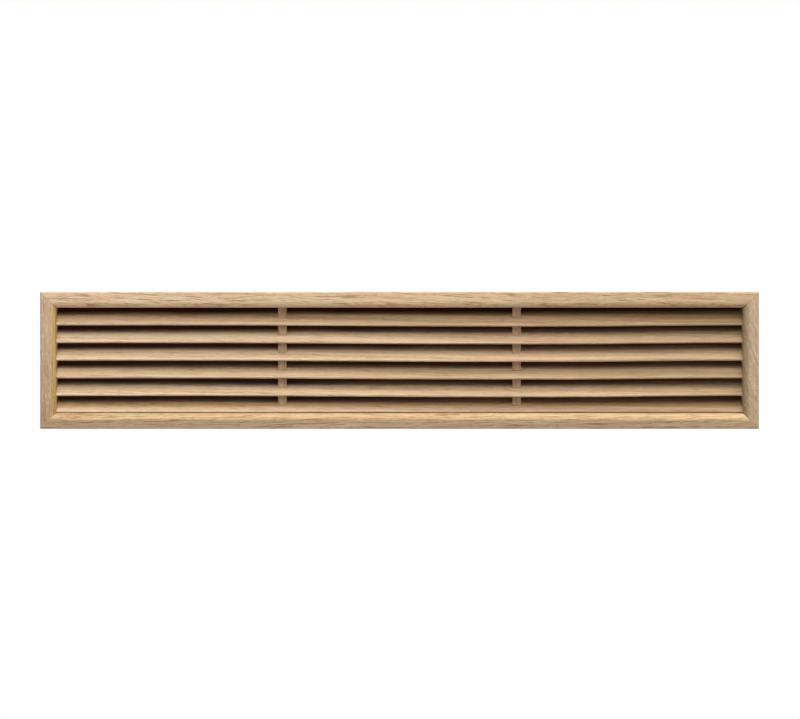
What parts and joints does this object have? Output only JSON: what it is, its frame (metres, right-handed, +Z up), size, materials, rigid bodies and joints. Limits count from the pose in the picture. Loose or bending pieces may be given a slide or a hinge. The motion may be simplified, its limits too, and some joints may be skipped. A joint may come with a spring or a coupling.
{
  "type": "ventilation grille",
  "caption": "Slim rectangular oak ventilation grille: mitred flanged frame with fixed sloping louvre slats held in the stiles and on slotted upright posts, set into a cut-out.",
  "frame": {"origin": "centre of the grille in the plane where the back of the flange meets the wall", "axes": "+X along the grille to the right as seen from the room, +Y into the wall, +Z up"},
  "size_m": [0.42, 0.018, 0.08],
  "materials": {
    "frame_oak": "planed and sanded oak, raw or thinly oiled, matt",
    "slat_oak": "planed oak, raw or thinly oiled, matt",
    "post_oak": "sawn and planed oak, matt"
  },
  "bodies": {
    "root": {"top_rail": "frame_oak", "bottom_rail": "frame_oak", "left_stile": "frame_oak", "right_stile": "frame_oak", "slat_1": "slat_oak", "slat_2": "slat_oak", "slat_3": "slat_oak", "slat_4": "slat_oak", "slat_5": "slat_oak", "slat_6": "slat_oak", "left_post": "post_oak", "right_post": "post_oak"}
  },
  "joints": []
}
